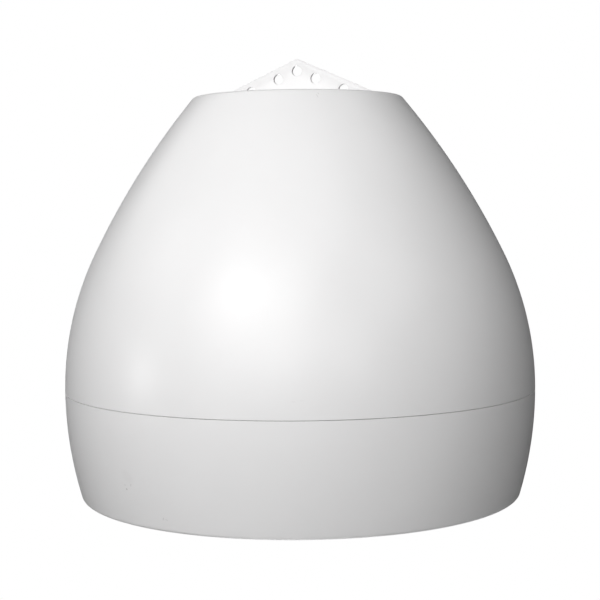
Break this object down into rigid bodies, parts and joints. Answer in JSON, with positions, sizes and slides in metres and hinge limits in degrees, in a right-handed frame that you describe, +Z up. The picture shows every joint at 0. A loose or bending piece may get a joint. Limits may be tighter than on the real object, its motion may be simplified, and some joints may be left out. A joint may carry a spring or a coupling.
{
  "type": "pendant speaker",
  "caption": "White bell-shaped pendant loudspeaker with a lower skirt, a perforated grille underneath and a drilled triangular hanging plate on top.",
  "frame": {"origin": "middle of the plane that the bottom rim stands on", "axes": "+Z up from the rim to the hanging plate, +X along the plate, +Y along its holes"},
  "size_m": [0.49, 0.49, 0.4528],
  "materials": {
    "housing": "moulded ABS, satin white",
    "plate_paint": "powder-coated steel, satin white",
    "grille_paint": "powder-coated perforated steel",
    "zinc": "zinc-plated steel",
    "pole_steel": "turned soft steel",
    "load_steel": "black primed steel",
    "basket_paint": "die-cast aluminium, black",
    "black_plastic": "black moulded plastic",
    "brass": "plain brass",
    "baffle_board": "black-stained fibreboard",
    "foam": "closed-cell foam",
    "surround_rubber": "moulded rubber",
    "cone_paper": "black pressed paper",
    "spider_cloth": "resin-stiffened cloth",
    "copper": "enamelled copper wire",
    "ferrite": "sintered ferrite",
    "diaphragm_metal": "thin pressed alloy",
    "cloth": "black acoustic cloth",
    "board_laminate": "green glass-fibre laminate",
    "capacitor_film": "yellow film wrap",
    "resistor_ceramic": "white ceramic",
    "laminations": "varnished steel laminations",
    "winding": "taped copper winding",
    "wadding": "white polyester wadding"
  },
  "bodies": {
    "root": {"bell": "housing", "skirt": "housing", "hanging_plate": "plate_paint", "foot_plate": "plate_paint", "grille": "grille_paint", "foot_bolts": "zinc", "foot_washers": "zinc", "foot_nuts": "zinc", "tray_screws": "zinc", "clamp_screws": "zinc", "woofer_screws": "zinc", "grille_screws": "zinc", "transformer_strap": "zinc", "strap_screws": "zinc", "front_pole_plate": "pole_steel", "back_pole_plate": "pole_steel", "driver_plate": "pole_steel", "load_plate": "load_steel", "woofer_basket": "basket_paint", "terminal_tray": "black_plastic", "terminal_block": "black_plastic", "ports": "black_plastic", "horn": "black_plastic", "driver_cap": "black_plastic", "terminal_screws": "brass", "board_standoffs": "brass", "baffle": "baffle_board", "seam_gasket": "foam", "baffle_gasket": "foam", "woofer_gasket": "foam", "surround": "surround_rubber", "cone": "cone_paper", "spider": "spider_cloth", "voice_coil": "copper", "coils": "copper", "woofer_magnet": "ferrite", "driver_magnet": "ferrite", "driver_diaphragm": "diaphragm_metal", "grille_cloth": "cloth", "crossover_board": "board_laminate", "capacitors": "capacitor_film", "resistors": "resistor_ceramic", "transformer_core": "laminations", "transformer_winding": "winding", "damping_lining": "wadding"}
  },
  "joints": []
}
